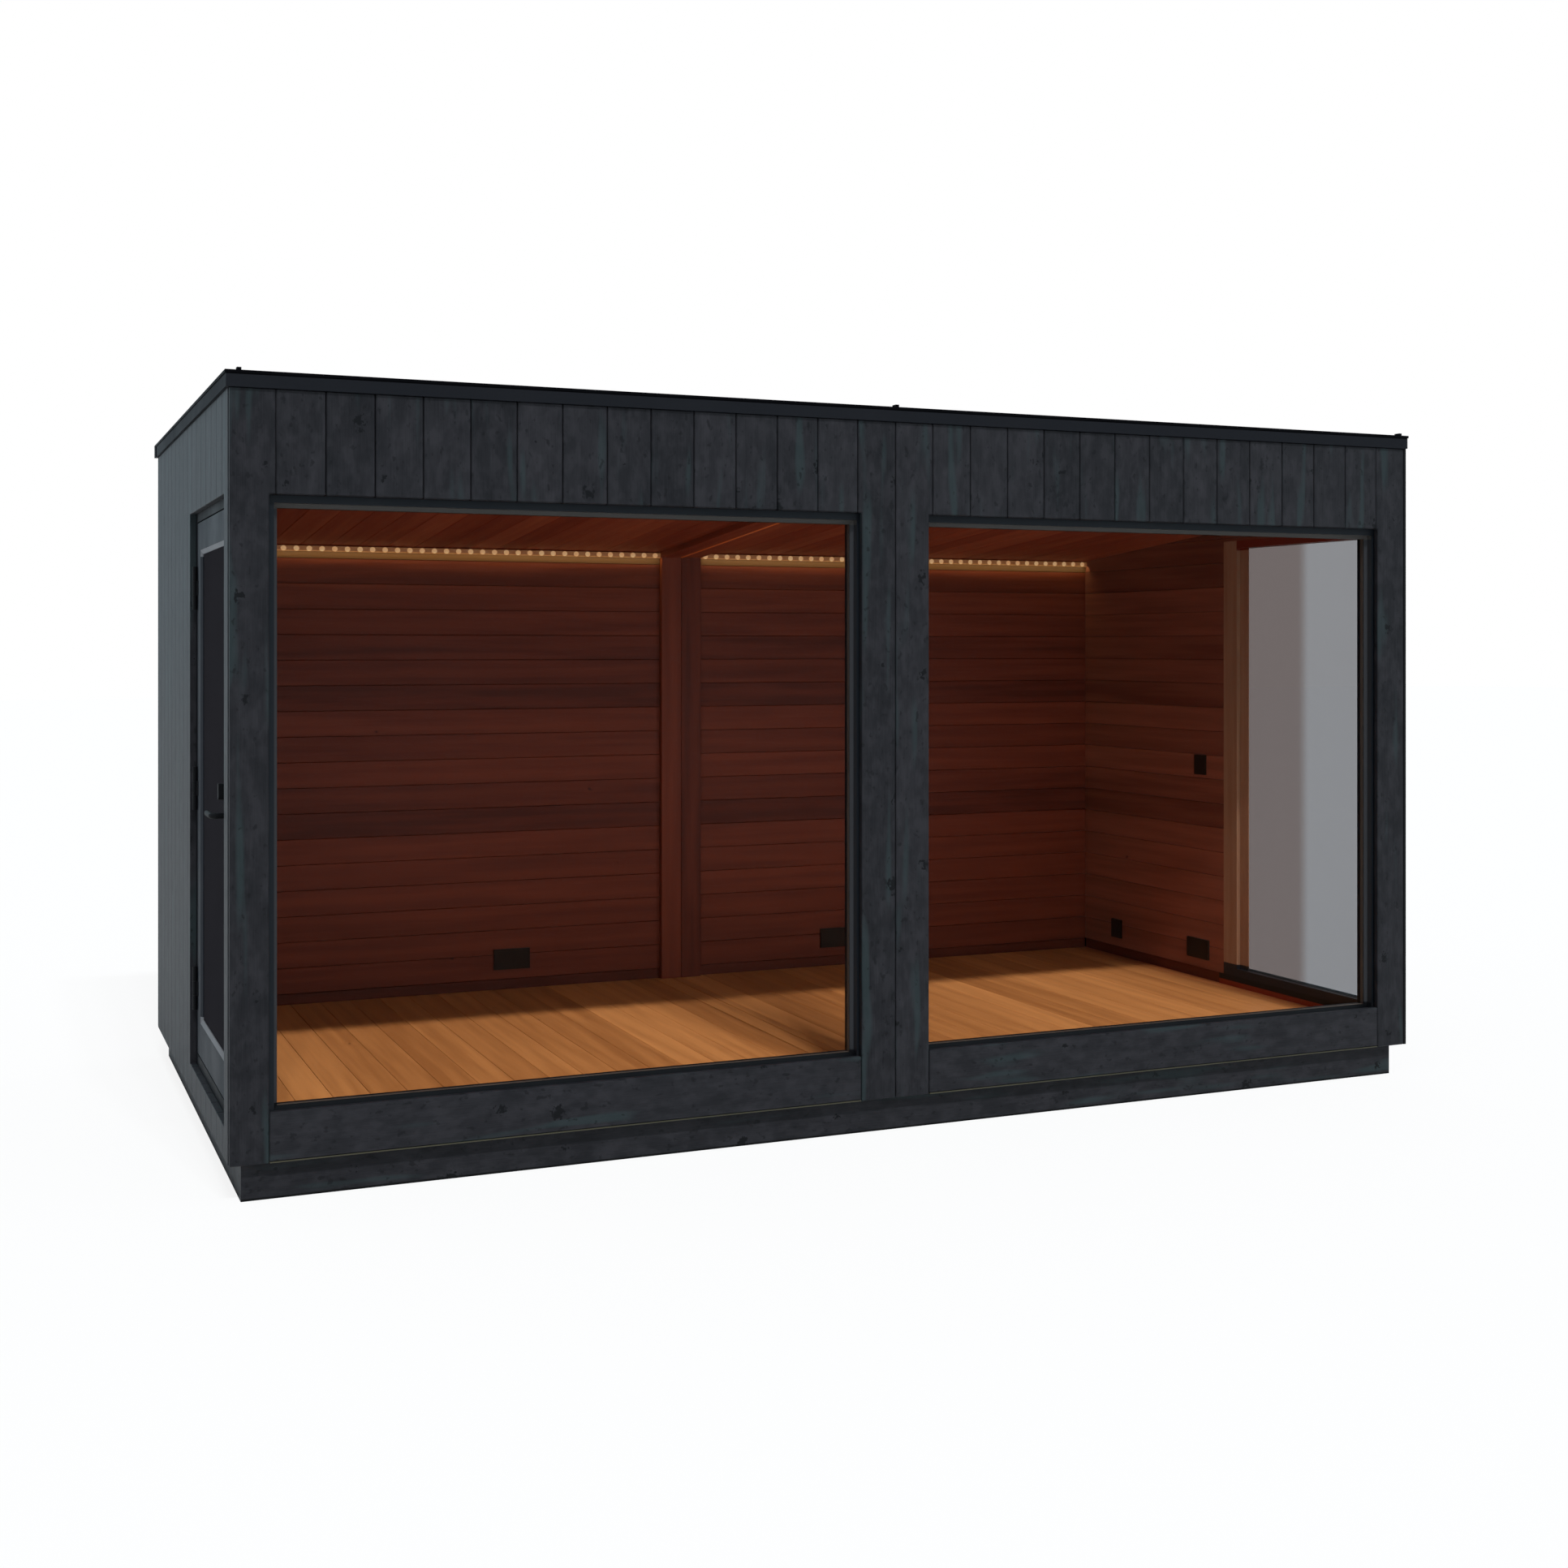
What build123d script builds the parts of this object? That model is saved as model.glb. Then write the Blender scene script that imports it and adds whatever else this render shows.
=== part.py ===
"""Outdoor sauna cabin of two equal modules, with a glazed front, a glazed door and a fixed side window.

Millimetres. +X runs right along the front, -Y faces the front, +Z is up. The origin is on the ground,
under the middle of the cabin. The door hangs in the left wall and opens outwards.
"""

import os
from math import radians, tan

from build123d import *

# Overall size
module_length = 2225
module_count = 2
cabin_depth = 2310
cabin_height = 2500
module_joint = 2

# Base
plinth_height = 118
plinth_setback = 40
plinth_width = 60
floor_thickness = 74

# Walls
cladding_thickness = 22
lining_thickness = 15
front_wall_thickness = 150
back_wall_thickness = 147
side_wall_thickness = 88
skirting_height = 45

# Front openings, one in each module
front_board_width = 118
front_sill_height = 153
front_fascia_height = 317
front_sill_lap = 25
window_face_width = 18
window_head_width = 24
window_bead_width = 13
window_bead_setback = 25
window_bead_slope = 5
window_frame_depth = 70
window_setback = 6
reveal_thickness = 12
glass_bead_lip = 3
glass_thickness = 24
glass_bite = 14
glass_edge_clearance = 3
glass_face_clearance = 0.3

# Openings of the side walls: the door on the left, the fixed window on the right
side_opening_front = 115
side_opening_drop = 312
side_opening_bottom = 214
door_opening_width = 958
jamb_width = 30
threshold_height = 60
stop_width = 14
side_window_width = 926
side_sill_height = 46
side_sill_horn = 32
side_sash_width = 33
side_post_width = 93
side_bead_slope = 4

# Door leaf
leaf_thickness = 44
hinge_side_gap = 5
lock_side_gap = 7
head_gap = 5
stop_gap = 5
stile_width = 100
top_rail_height = 110
bottom_rail_height = 131
door_bead_width = 15
door_bead_slope = 7

# Hinges
hinge_height = 150
hinge_knuckles = 3
hinge_plate_width = 26
hinge_plate_thickness = 3
knuckle_radius = 8
hinge_web_inset = 1
knuckle_clearance = 0.5
hinge_pin_radius = 4
hinge_pin_clearance = 0.2
hinge_end_distance = 150

# Lever handle and lock
lever_height_above_floor = 960
lever_inset = 45
lever_length = 125
lever_reach = 48
lever_bend = 16
neck_radius = 9
neck_clearance = 0.3
rose_radius = 26
rose_thickness = 9
lock_rise = 75
lock_radius = 11
lock_height = 50
lock_reach = 30

# Roof
trim_height = 50
trim_overhang = 12
trim_width = 60
trim_cap_height = 9
trim_face_setback = 3
roof_slope = 4.5
ceiling_drop = 350
roof_thickness = 180
rib_width = 13
rib_length = 26
rib_height = 8
rib_inset = 29

# Inside
pilaster_width = 188
pilaster_depth = 25
led_size = 12
led_drop = 21
plate_height = 88
plate_depth = 8
single_plate_width = 82
double_plate_width = 160
socket_height_above_floor = 131
switch_height_above_floor = 956
back_socket_offset = 775
side_double_socket_y = 70
side_single_socket_y = 725
switch_y = 53

# Places worked out from the sizes above
half_length = module_count * module_length / 2
half_depth = cabin_depth / 2
floor_top = plinth_height + floor_thickness
fascia_top = cabin_height - trim_height
core_x = half_length - cladding_thickness
core_y = half_depth - cladding_thickness
inner_x = half_length - side_wall_thickness
lining_x = inner_x + lining_thickness
front_inner_y = -half_depth + front_wall_thickness
back_inner_y = half_depth - back_wall_thickness
back_lining_y = back_inner_y + lining_thickness
front_window_bottom = plinth_height + front_sill_height
front_window_top = fascia_top - front_fascia_height
front_frame_bottom = front_window_bottom - front_sill_lap
frame_back_y = -core_y + window_setback + window_frame_depth
side_opening_top = fascia_top - side_opening_drop
ceiling_back = fascia_top - ceiling_drop
opening_y0 = -half_depth + side_opening_front
opening_y1 = opening_y0 + door_opening_width
window_y1 = opening_y0 + side_window_width
leaf_y0 = opening_y0 + jamb_width + lock_side_gap
leaf_y1 = opening_y1 - jamb_width - hinge_side_gap
leaf_bottom = floor_top + threshold_height + head_gap
leaf_top = side_opening_top - jamb_width - head_gap
leaf_inner_x = -core_x + leaf_thickness
hinge_y = opening_y1 - jamb_width - hinge_side_gap / 2
hinge_x = -core_x - knuckle_radius - knuckle_clearance
lever_y = leaf_y0 + lever_inset
lever_z = floor_top + lever_height_above_floor
modules = [(-1, "left"), (1, "right")]

os.makedirs("parts", exist_ok=True)


def save(piece, label):
    piece.part.label = label
    export_step(piece.part, f"parts/{label}.step")


def block(x, y, z, mode=Mode.ADD):
    """A squared solid between two values on each axis, added to the part being built or cut from it."""
    with Locations(((x[0] + x[1]) / 2, (y[0] + y[1]) / 2, (z[0] + z[1]) / 2)):
        Box(x[1] - x[0], y[1] - y[0], z[1] - z[0], mode=mode)


def span(a, b):
    return min(a, b), max(a, b)


def module_span(side, near, far):
    """The stretch of one module between two distances from the middle of the cabin, left or right."""
    return span(side * near, side * far)


def slope_height(y):
    """Height of the ceiling's lower face, which rises towards the front."""
    return ceiling_back + (back_inner_y - y) * tan(radians(roof_slope))


def sloped_slab(x, rise, thickness, y0, y1):
    """A slab that follows the slope of the roof between two faces square to Y."""
    with BuildPart() as slab:
        with BuildSketch(Plane.YZ.offset(x[0])):
            with BuildLine():
                Polyline(
                    (y0, slope_height(y0) + rise),
                    (y1, slope_height(y1) + rise),
                    (y1, slope_height(y1) + rise + thickness),
                    (y0, slope_height(y0) + rise + thickness),
                    close=True,
                )
            make_face()
        extrude(amount=x[1] - x[0])
    return slab


def daylight(size, members, margin=0):
    """The opening of a frame, widened by a margin: its middle and its size.

    size is the frame's width and height, and members are its left, right, lower and upper widths.
    """
    left, right, lower, upper = members
    middle = ((left - right) / 2, lower + (size[1] - lower - upper) / 2)
    return middle, (size[0] - left - right + 2 * margin, size[1] - lower - upper + 2 * margin)


def opening_sketch(plane, size, members, margin=0):
    middle, opening = daylight(size, members, margin)
    with BuildSketch(plane) as sketch:
        with Locations(middle):
            Rectangle(*opening)
    return sketch.sketch


def glazed_ring(plane, size, depth, members, bead, groove_at):
    """A frame with a groove for a pane and sloped beads round its daylight, behind a plane at its face.

    The plane's origin is the middle of the frame's lower edge. bead holds the bead's width, how far
    it lies behind the face, and how deep its slope is.
    """
    bead_width, bead_setback, bead_slope = bead
    with BuildPart() as ring:
        with BuildSketch(plane):
            with Locations((0, size[1] / 2)):
                Rectangle(*size)
        extrude(amount=-depth)
        extrude(opening_sketch(plane, size, members), amount=-depth, mode=Mode.SUBTRACT)
        if bead_setback:
            extrude(
                opening_sketch(plane, size, members, bead_width), amount=-bead_setback, mode=Mode.SUBTRACT
            )
        outer = opening_sketch(plane.offset(-bead_setback), size, members, bead_width)
        inner = opening_sketch(plane.offset(-bead_setback - bead_slope), size, members)
        loft([outer.face(), inner.face()], mode=Mode.SUBTRACT)
        groove = opening_sketch(plane.offset(-groove_at), size, members, glass_bite)
        extrude(groove, amount=-glass_thickness - 2 * glass_face_clearance, mode=Mode.SUBTRACT)
    return ring


def pane(plane, size, members, groove_at):
    """The pane that sits in the groove of a frame of the same sizes."""
    lap = glass_bite - glass_edge_clearance
    with BuildPart() as glass:
        sheet = opening_sketch(plane.offset(-groove_at - glass_face_clearance), size, members, lap)
        extrude(sheet, amount=-glass_thickness)
    return glass


# Plinth: long rails at the front and back, cross bearers between them
plinth_x = half_length - plinth_setback
plinth_y = half_depth - plinth_setback
with BuildPart() as plinth_rails:
    for side in (-1, 1):
        rail_y = span(side * plinth_y, side * (plinth_y - plinth_width))
        block((-plinth_x, plinth_x), rail_y, (0, plinth_height))
save(plinth_rails, "plinth_rails")

with BuildPart() as plinth_bearers:
    for middle in (-plinth_x + plinth_width / 2, 0, plinth_x - plinth_width / 2):
        block(
            (middle - plinth_width / 2, middle + plinth_width / 2),
            (-plinth_y + plinth_width, plinth_y - plinth_width),
            (0, plinth_height),
        )
save(plinth_bearers, "plinth_bearers")

# Floor, one slab in each module
for side, name in modules:
    with BuildPart() as floor:
        block(module_span(side, module_joint / 2, core_x), (-core_y, core_y), (plinth_height, floor_top))
    save(floor, f"floor_{name}")

# Back wall cores
for side, name in modules:
    with BuildPart() as back_wall:
        block(module_span(side, module_joint / 2, core_x), (back_lining_y, core_y), (floor_top, fascia_top))
    save(back_wall, f"back_wall_{name}")

# Side wall cores, beside and over the openings
for side, name, below, edge in ((-1, "left", "door", opening_y1), (1, "right", "window", window_y1)):
    wall_x = span(side * core_x, side * lining_x)
    with BuildPart() as rear_wall:
        block(wall_x, (edge, back_lining_y), (floor_top, fascia_top))
        if below == "window":
            block(
                (lining_x, core_x),
                (edge, edge + side_sill_horn),
                (floor_top, floor_top + side_sill_height),
                mode=Mode.SUBTRACT,
            )
    save(rear_wall, f"{name}_wall_rear")
    with BuildPart() as wall_over:
        block(wall_x, (opening_y0, edge), (side_opening_top, fascia_top))
    save(wall_over, f"{name}_wall_over_{below}")

# Front wall lining: boards on its inner face and in the reveals behind the window frames
post_x = half_length - front_board_width
reveal_y = (frame_back_y, front_inner_y)
lining_top = slope_height(front_inner_y) + lining_thickness
with BuildPart() as front_lining:
    for side, name in modules:
        with BuildSketch(Plane.XZ.offset(-front_inner_y)):
            with BuildLine():
                Polyline(
                    (side * module_joint / 2, floor_top),
                    (side * front_board_width, floor_top),
                    (side * front_board_width, front_window_top),
                    (side * post_x, front_window_top),
                    (side * post_x, side_opening_top),
                    (side * inner_x, side_opening_top),
                    (side * inner_x, lining_top),
                    (side * module_joint / 2, lining_top),
                    close=True,
                )
            make_face()
        extrude(amount=lining_thickness)
        block(
            module_span(side, front_board_width - reveal_thickness, front_board_width),
            reveal_y,
            (floor_top, lining_top),
        )
        block(
            module_span(side, front_board_width, post_x),
            reveal_y,
            (front_window_top, front_window_top + reveal_thickness),
        )
        block(
            module_span(side, front_board_width, post_x),
            reveal_y,
            (front_frame_bottom - reveal_thickness, front_frame_bottom),
        )
        block(
            module_span(side, post_x, post_x + reveal_thickness),
            (frame_back_y, opening_y0),
            (floor_top, front_window_top + reveal_thickness),
        )
        block(
            module_span(side, post_x, inner_x),
            (opening_y0 - reveal_thickness, opening_y0),
            (floor_top, side_opening_top),
        )
save(front_lining, "lining_front")

# Front wall: posts at the ends and beside the module joint, headers and sills between them
with BuildPart() as front_posts:
    for side, name in modules:
        block(module_span(side, post_x, core_x), (-core_y, opening_y0), (floor_top, fascia_top))
        block(
            module_span(side, post_x, lining_x),
            (opening_y0, front_inner_y),
            (side_opening_top, fascia_top),
        )
        block(
            module_span(side, module_joint / 2, front_board_width),
            (-core_y, front_inner_y),
            (floor_top, fascia_top),
        )
    add(front_lining.part, mode=Mode.SUBTRACT)
save(front_posts, "front_posts")

with BuildPart() as front_headers:
    for side, name in modules:
        block(
            module_span(side, front_board_width, post_x),
            (-core_y, front_inner_y),
            (front_window_top, fascia_top),
        )
    add(front_lining.part, mode=Mode.SUBTRACT)
save(front_headers, "front_headers")

with BuildPart() as front_sills:
    for side, name in modules:
        block(
            module_span(side, front_board_width, post_x),
            (-core_y, front_inner_y),
            (floor_top, front_frame_bottom),
        )
    add(front_lining.part, mode=Mode.SUBTRACT)
save(front_sills, "front_sills")

# Outer cladding
cladding_z = (plinth_height, fascia_top)
front_window_z = (front_window_bottom, front_window_top)
for side, name in modules:
    with BuildPart() as front_cladding:
        block(module_span(side, 0, half_length), (-half_depth, -core_y), cladding_z)
        block(
            module_span(side, front_board_width, post_x),
            (-half_depth, -core_y),
            front_window_z,
            mode=Mode.SUBTRACT,
        )
    save(front_cladding, f"cladding_front_{name}")

side_opening_z = (side_opening_bottom, side_opening_top)
for side, name, edge in ((-1, "left", opening_y1), (1, "right", window_y1)):
    cladding_x = module_span(side, core_x, half_length)
    with BuildPart() as side_cladding:
        block(cladding_x, (-core_y, core_y), cladding_z)
        block(cladding_x, (opening_y0, edge), side_opening_z, mode=Mode.SUBTRACT)
    save(side_cladding, f"cladding_{name}")

with BuildPart() as back_cladding:
    block((-half_length, half_length), (core_y, half_depth), cladding_z)
save(back_cladding, "cladding_back")

# Inner lining
with BuildPart() as back_lining:
    for side, name in modules:
        block(
            module_span(side, pilaster_width / 2, inner_x),
            (back_inner_y, back_lining_y),
            (floor_top + skirting_height, slope_height(back_lining_y)),
        )
save(back_lining, "lining_back")

for side, name, edge in ((-1, "left", opening_y1), (1, "right", window_y1)):
    with BuildPart() as side_lining:
        with BuildSketch(Plane.YZ.offset(min(side * inner_x, side * lining_x))):
            with BuildLine():
                Polyline(
                    (edge, floor_top + skirting_height),
                    (back_lining_y, floor_top + skirting_height),
                    (back_lining_y, slope_height(back_lining_y)),
                    (front_inner_y, slope_height(front_inner_y)),
                    (front_inner_y, side_opening_top),
                    (edge, side_opening_top),
                    close=True,
                )
            make_face()
        extrude(amount=lining_thickness)
        if name == "right":
            block(
                (inner_x, lining_x),
                (edge, edge + side_sill_horn),
                (floor_top, floor_top + side_sill_height),
                mode=Mode.SUBTRACT,
            )
    save(side_lining, f"lining_{name}")

# Ceiling boards and roof panels, both sloped
for side, name in modules:
    ceiling = sloped_slab(
        module_span(side, module_joint / 2, lining_x), 0, lining_thickness, front_inner_y, back_lining_y
    )
    save(ceiling, f"ceiling_{name}")
    roof = sloped_slab(
        module_span(side, module_joint / 2, lining_x),
        lining_thickness,
        roof_thickness,
        front_inner_y,
        back_lining_y,
    )
    save(roof, f"roof_{name}")

# Edge trim on the tops of the walls: a capping with its face a little back under the cap
trim_x = half_length + trim_overhang
trim_y = half_depth + trim_overhang
cap_bottom = cabin_height - trim_cap_height


def trim_section(outer, side):
    """Corners of the capping's section across its run, from its inner edge out to the cap."""
    face = outer - trim_face_setback
    inner = outer - trim_width
    return [
        (side * inner, fascia_top),
        (side * face, fascia_top),
        (side * face, cap_bottom),
        (side * outer, cap_bottom),
        (side * outer, cabin_height),
        (side * inner, cabin_height),
    ]


with BuildPart() as long_trim:
    for side in (-1, 1):
        with BuildSketch(Plane.YZ.offset(-trim_x)):
            with BuildLine():
                Polyline(*trim_section(trim_y, side), close=True)
            make_face()
        extrude(amount=2 * trim_x)
        end_x = span(side * trim_x, side * (trim_x - trim_face_setback))
        block(end_x, (-trim_y, trim_y), (fascia_top, cap_bottom), mode=Mode.SUBTRACT)
save(long_trim, "roof_trim_long")

with BuildPart() as end_trim:
    for side in (-1, 1):
        with BuildSketch(Plane.XZ.offset(-trim_y + trim_width)):
            with BuildLine():
                Polyline(*trim_section(trim_x, side), close=True)
            make_face()
        extrude(amount=2 * (trim_y - trim_width))
save(end_trim, "roof_trim_ends")

with BuildPart() as roof_ribs:
    for middle in (-half_length + rib_inset, 0, half_length - rib_inset):
        block(
            (middle - rib_width / 2, middle + rib_width / 2),
            (-trim_y, -trim_y + rib_length),
            (cabin_height, cabin_height + rib_height),
        )
save(roof_ribs, "roof_ribs")

# Pilaster and ceiling beam over the module joint
with BuildPart() as pilaster:
    with BuildSketch(Plane.YZ.offset(-pilaster_width / 2)):
        with BuildLine():
            Polyline(
                (back_inner_y - pilaster_depth, floor_top),
                (back_lining_y, floor_top),
                (back_lining_y, slope_height(back_lining_y)),
                (back_inner_y - pilaster_depth, slope_height(back_inner_y - pilaster_depth)),
                close=True,
            )
        make_face()
    extrude(amount=pilaster_width)
save(pilaster, "pilaster")

beam = sloped_slab(
    (-pilaster_width / 2, pilaster_width / 2),
    -pilaster_depth,
    pilaster_depth,
    front_inner_y,
    back_inner_y - pilaster_depth,
)
save(beam, "ceiling_beam")

# Front windows: frames in the openings, their lower members behind the sill boards, panes in the grooves
front_frame_size = (post_x - front_board_width, front_window_top - front_frame_bottom)
front_member = window_face_width + window_bead_width
front_members = (front_member, front_member, front_member, window_head_width + window_bead_width)
front_bead = (window_bead_width, window_bead_setback, window_bead_slope)
front_groove = window_bead_setback + window_bead_slope + glass_bead_lip
front_planes = [
    Plane(
        origin=(side * half_length / 2, -core_y + window_setback, front_frame_bottom),
        x_dir=(1, 0, 0),
        z_dir=(0, -1, 0),
    )
    for side, name in modules
]
with BuildPart() as front_frames:
    for plane in front_planes:
        ring = glazed_ring(
            plane, front_frame_size, window_frame_depth, front_members, front_bead, front_groove
        )
        add(ring.part)
save(front_frames, "front_window_frames")

with BuildPart() as front_panes:
    for plane in front_planes:
        add(pane(plane, front_frame_size, front_members, front_groove).part)
save(front_panes, "front_window_glass")

# Side window in the right wall: a sill on the floor, a frame on the sill and a pane
side_frame_bottom = floor_top + side_sill_height
side_plane = Plane(
    origin=(core_x, (opening_y0 + window_y1) / 2, side_frame_bottom), x_dir=(0, 1, 0), z_dir=(1, 0, 0)
)
side_frame_size = (side_window_width, side_opening_top - side_frame_bottom)
side_frame_depth = core_x - inner_x
side_members = (side_sash_width, side_post_width, side_sash_width, side_sash_width)
side_bead = (window_bead_width, 0, side_bead_slope)
side_groove = (side_frame_depth - glass_thickness) / 2
with BuildPart() as side_sill:
    block((inner_x, core_x), (opening_y0, window_y1 + side_sill_horn), (floor_top, side_frame_bottom))
save(side_sill, "side_window_sill")

side_frame = glazed_ring(
    side_plane, side_frame_size, side_frame_depth, side_members, side_bead, side_groove
)
save(side_frame, "side_window_frame")
save(pane(side_plane, side_frame_size, side_members, side_groove), "side_window_glass")

# Door frame in the left wall: jambs and head with a stop behind the leaf, and a threshold
door_frame_x = (-core_x, -inner_x)
clear_y = (opening_y0 + jamb_width, opening_y1 - jamb_width)
clear_z = (leaf_bottom - head_gap, leaf_top + head_gap)
stop_x = -core_x + leaf_thickness + stop_gap
with BuildPart() as door_frame:
    block(door_frame_x, (opening_y0, opening_y1), (floor_top, side_opening_top))
    block((-core_x, stop_x), clear_y, clear_z, mode=Mode.SUBTRACT)
    block(
        door_frame_x,
        (clear_y[0] + stop_width, clear_y[1] - stop_width),
        (clear_z[0] + stop_width, clear_z[1] - stop_width),
        mode=Mode.SUBTRACT,
    )
save(door_frame, "door_frame")

# Door leaf: stiles and rails with a bore for the spindle, and its pane
leaf_middle_y = (leaf_y0 + leaf_y1) / 2
leaf_plane = Plane(origin=(-core_x, leaf_middle_y, leaf_bottom), x_dir=(0, -1, 0), z_dir=(-1, 0, 0))
leaf_size = (leaf_y1 - leaf_y0, leaf_top - leaf_bottom)
leaf_members = (stile_width, stile_width, bottom_rail_height, top_rail_height)
leaf_bead = (door_bead_width, 0, door_bead_slope)
leaf_groove = (leaf_thickness - glass_thickness) / 2
with BuildPart() as door_leaf:
    add(glazed_ring(leaf_plane, leaf_size, leaf_thickness, leaf_members, leaf_bead, leaf_groove).part)
    with BuildSketch(Plane.YZ.offset(-core_x)):
        with Locations((lever_y, lever_z)):
            Circle(neck_radius + neck_clearance)
    extrude(amount=leaf_thickness, mode=Mode.SUBTRACT)
save(door_leaf, "door_leaf")
save(pane(leaf_plane, leaf_size, leaf_members, leaf_groove), "door_glass")

# Hinges: each has two fixed knuckles with the pin between them, and a moving knuckle on the pin
hinge_centres = [
    leaf_bottom + hinge_end_distance + hinge_height / 2,
    (leaf_bottom + leaf_top) / 2,
    leaf_top - hinge_end_distance - hinge_height / 2,
]
knuckle_height = (hinge_height - (hinge_knuckles - 1) * knuckle_clearance) / hinge_knuckles
plate_x = (-core_x - hinge_plate_thickness, -core_x)
web_x = (hinge_x, -core_x)
web_reach = knuckle_radius - hinge_web_inset


def knuckle(z0, z1, radius, mode=Mode.ADD):
    with Locations((hinge_x, hinge_y, (z0 + z1) / 2)):
        Cylinder(radius, z1 - z0, mode=mode)


with BuildPart() as fixed_hinges:
    for centre in hinge_centres:
        for end in (-1, 1):
            knuckle_z = span(
                centre + end * hinge_height / 2, centre + end * (hinge_height / 2 - knuckle_height)
            )
            knuckle(*knuckle_z, knuckle_radius)
            block(plate_x, (hinge_y, hinge_y + hinge_plate_width), knuckle_z)
            block(web_x, (hinge_y + hinge_side_gap / 2, hinge_y + web_reach), knuckle_z)
        knuckle(centre - hinge_height / 2, centre + hinge_height / 2, hinge_pin_radius)
save(fixed_hinges, "hinges_fixed")

with BuildPart() as moving_hinges:
    for centre in hinge_centres:
        knuckle_z = (centre - knuckle_height / 2, centre + knuckle_height / 2)
        knuckle(*knuckle_z, knuckle_radius)
        block(plate_x, (hinge_y - hinge_plate_width, hinge_y), knuckle_z)
        block(web_x, (hinge_y - web_reach, hinge_y - hinge_side_gap / 2), knuckle_z)
        knuckle(*knuckle_z, hinge_pin_radius + hinge_pin_clearance, mode=Mode.SUBTRACT)
save(moving_hinges, "hinges_moving")

# Roses on both faces of the leaf and the lock boss above the outer one
with BuildPart() as roses:
    for start, amount in ((-core_x, -rose_thickness), (leaf_inner_x, rose_thickness)):
        with BuildSketch(Plane.YZ.offset(start)):
            with Locations((lever_y, lever_z)):
                Circle(rose_radius)
                Circle(neck_radius + neck_clearance, mode=Mode.SUBTRACT)
        extrude(amount=amount)
    with BuildSketch(Plane.YZ.offset(-core_x)):
        with Locations((lever_y, lever_z + lock_rise)):
            SlotOverall(lock_height, 2 * lock_radius, rotation=90)
    extrude(amount=-lock_reach)
save(roses, "door_lock")

# Lever handles outside and inside, on one spindle, pointing to the hinges
outer_lever_x = -core_x - lever_reach
inner_lever_x = leaf_inner_x + lever_reach
with BuildPart() as handle:
    with BuildLine() as bar:
        FilletPolyline(
            (outer_lever_x, lever_y + lever_length, lever_z),
            (outer_lever_x, lever_y, lever_z),
            (inner_lever_x, lever_y, lever_z),
            (inner_lever_x, lever_y + lever_length, lever_z),
            radius=lever_bend,
        )
    with BuildSketch(Plane(origin=bar.line @ 0, z_dir=bar.line % 0)):
        Circle(neck_radius)
    sweep(path=bar.line)
save(handle, "door_handle")

# Strip lights along the top of the back wall
led_z = ceiling_back - led_drop
with BuildPart() as led_strips:
    for side, name in modules:
        block(
            module_span(side, pilaster_width / 2, inner_x),
            (back_inner_y - led_size, back_inner_y),
            (led_z - led_size / 2, led_z + led_size / 2),
        )
save(led_strips, "led_strips")

# Socket and switch plates
socket_z = floor_top + socket_height_above_floor
switch_z = floor_top + switch_height_above_floor
with BuildPart() as plates:
    for side, name in modules:
        middle = side * back_socket_offset
        block(
            (middle - double_plate_width / 2, middle + double_plate_width / 2),
            (back_inner_y - plate_depth, back_inner_y),
            (socket_z - plate_height / 2, socket_z + plate_height / 2),
        )
    for middle, width, level in (
        (side_double_socket_y, double_plate_width, socket_z),
        (side_single_socket_y, single_plate_width, socket_z),
        (switch_y, single_plate_width, switch_z),
    ):
        block(
            (inner_x - plate_depth, inner_x),
            (middle - width / 2, middle + width / 2),
            (level - plate_height / 2, level + plate_height / 2),
        )
save(plates, "wall_plates")
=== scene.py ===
import math
import random

import bmesh
import bpy
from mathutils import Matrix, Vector


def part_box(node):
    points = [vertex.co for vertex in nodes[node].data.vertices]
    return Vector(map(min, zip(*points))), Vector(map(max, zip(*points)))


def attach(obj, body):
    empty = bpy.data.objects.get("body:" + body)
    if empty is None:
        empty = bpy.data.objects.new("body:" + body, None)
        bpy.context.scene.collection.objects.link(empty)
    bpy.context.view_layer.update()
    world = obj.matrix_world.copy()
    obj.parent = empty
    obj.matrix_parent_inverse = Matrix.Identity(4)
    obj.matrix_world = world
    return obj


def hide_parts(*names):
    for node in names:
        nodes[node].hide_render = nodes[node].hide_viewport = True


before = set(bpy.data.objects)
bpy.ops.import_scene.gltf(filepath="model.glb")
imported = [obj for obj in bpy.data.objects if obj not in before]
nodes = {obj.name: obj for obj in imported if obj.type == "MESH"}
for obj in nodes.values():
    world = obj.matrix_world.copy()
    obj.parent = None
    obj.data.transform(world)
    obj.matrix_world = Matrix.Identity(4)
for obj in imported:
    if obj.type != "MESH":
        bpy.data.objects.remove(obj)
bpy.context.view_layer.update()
scene = bpy.context.scene
SIDES = ((-1, "left"), (1, "right"))

# Camera at the photograph's place
CAMERA_PLACE = (-2.936, -6.985, 1.665)
CAMERA_TURN = math.radians(-23.34)
CAMERA_LENS = 43.36
CAMERA_SHIFT_Y = -0.0859

# Key light: a wide strip of sky straight ahead of the front, in a few narrow lamps side by side
SUN_ELEVATION = math.radians(50.5)
SUN_TURNS = [math.radians(turn) for turn in (-8, -3, 2, 7, 12)]
SUN_STRENGTH = 2.8
SUN_SOFTNESS = math.radians(2.5)
AMBIENT = 0.45
SKY_COLOUR = (0.8, 0.99, 1.1, 1)
STAGE_SIZE = 120
STAGE_WHITE = 0.86

# Cladding boards
BOARD_PITCH = 0.1488
BOARD_GAP = 0.0024
BOARD_EDGE = 0.003
SIDE_PITCH = 0.1455
SIDE_EDGE = 0.0012
SILL_BOARD = 0.153
OPENING_FOOT = 0.096

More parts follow.
